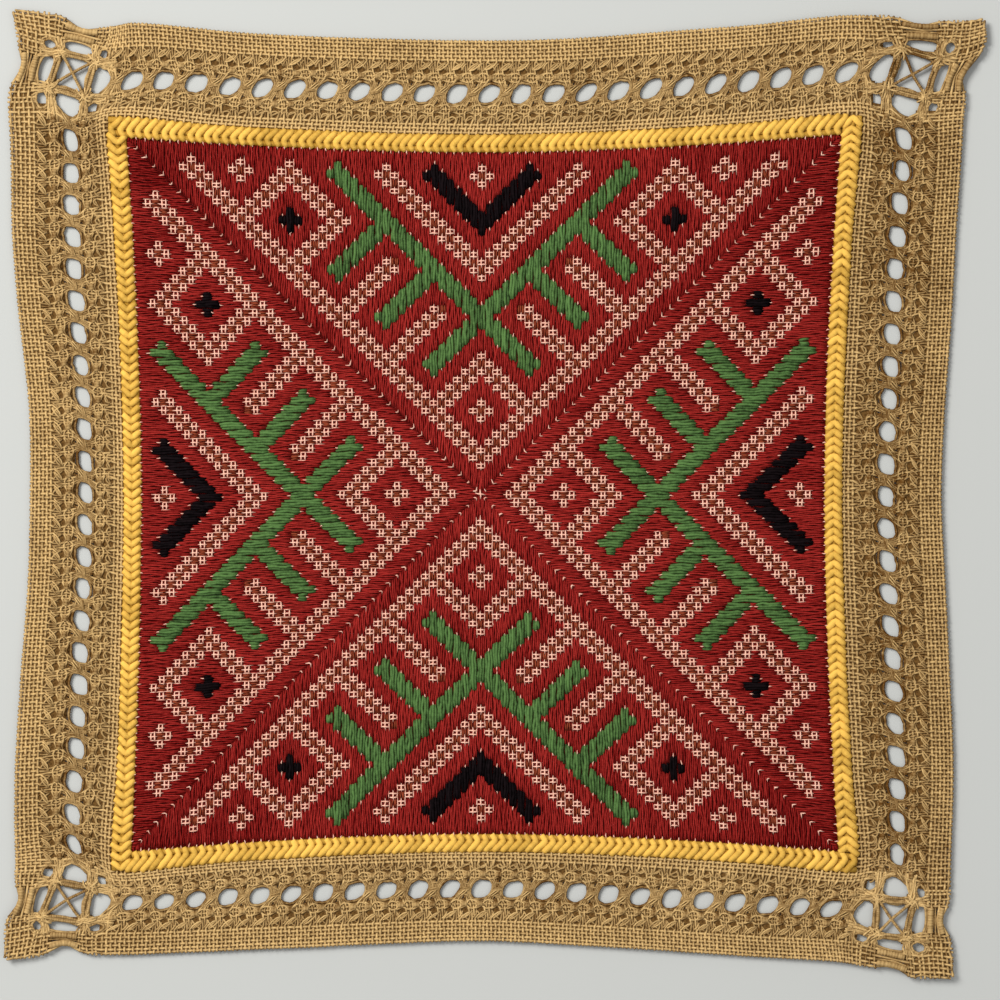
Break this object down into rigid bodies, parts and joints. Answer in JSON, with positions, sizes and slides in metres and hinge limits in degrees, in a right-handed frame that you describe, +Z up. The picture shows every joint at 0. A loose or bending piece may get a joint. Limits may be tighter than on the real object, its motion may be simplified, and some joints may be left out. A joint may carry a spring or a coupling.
{
  "type": "table square",
  "caption": "Square linen table cloth with a drawn-thread openwork border, a yellow braided frame and a pattern-darned centre in red, green and black wool, lying flat.",
  "frame": {"origin": "middle of the plan's bounding box, on the surface the cloth lies on", "axes": "+Z up out of the right side of the cloth, +X to the right and +Y to the top edge as the pattern is seen from above"},
  "size_m": [0.285, 0.2822, 0.003],
  "materials": {
    "linen": "coarse unbleached linen, evenly woven, with bundled threads in the openwork",
    "red_yarn": "matt wool yarn, lightly twisted, laid in close rows",
    "green_yarn": "matt wool yarn, slightly thicker than the red",
    "black_yarn": "matt wool yarn, slightly thicker than the red",
    "yellow_yarn": "soft plump wool yarn in plaited stitches"
  },
  "bodies": {
    "root": {"linen_ground": "linen", "darning_top": "red_yarn", "darning_right": "red_yarn", "darning_bottom": "red_yarn", "darning_left": "red_yarn", "branches_top": "green_yarn", "branches_right": "green_yarn", "branches_bottom": "green_yarn", "branches_left": "green_yarn", "chevron_top": "black_yarn", "chevron_right": "black_yarn", "chevron_bottom": "black_yarn", "chevron_left": "black_yarn", "dot_top_1": "black_yarn", "dot_top_2": "black_yarn", "dot_right_1": "black_yarn", "dot_right_2": "black_yarn", "dot_bottom_1": "black_yarn", "dot_bottom_2": "black_yarn", "dot_left_1": "black_yarn", "dot_left_2": "black_yarn", "braid_top": "yellow_yarn", "braid_right": "yellow_yarn", "braid_bottom": "yellow_yarn", "braid_left": "yellow_yarn"}
  },
  "joints": []
}
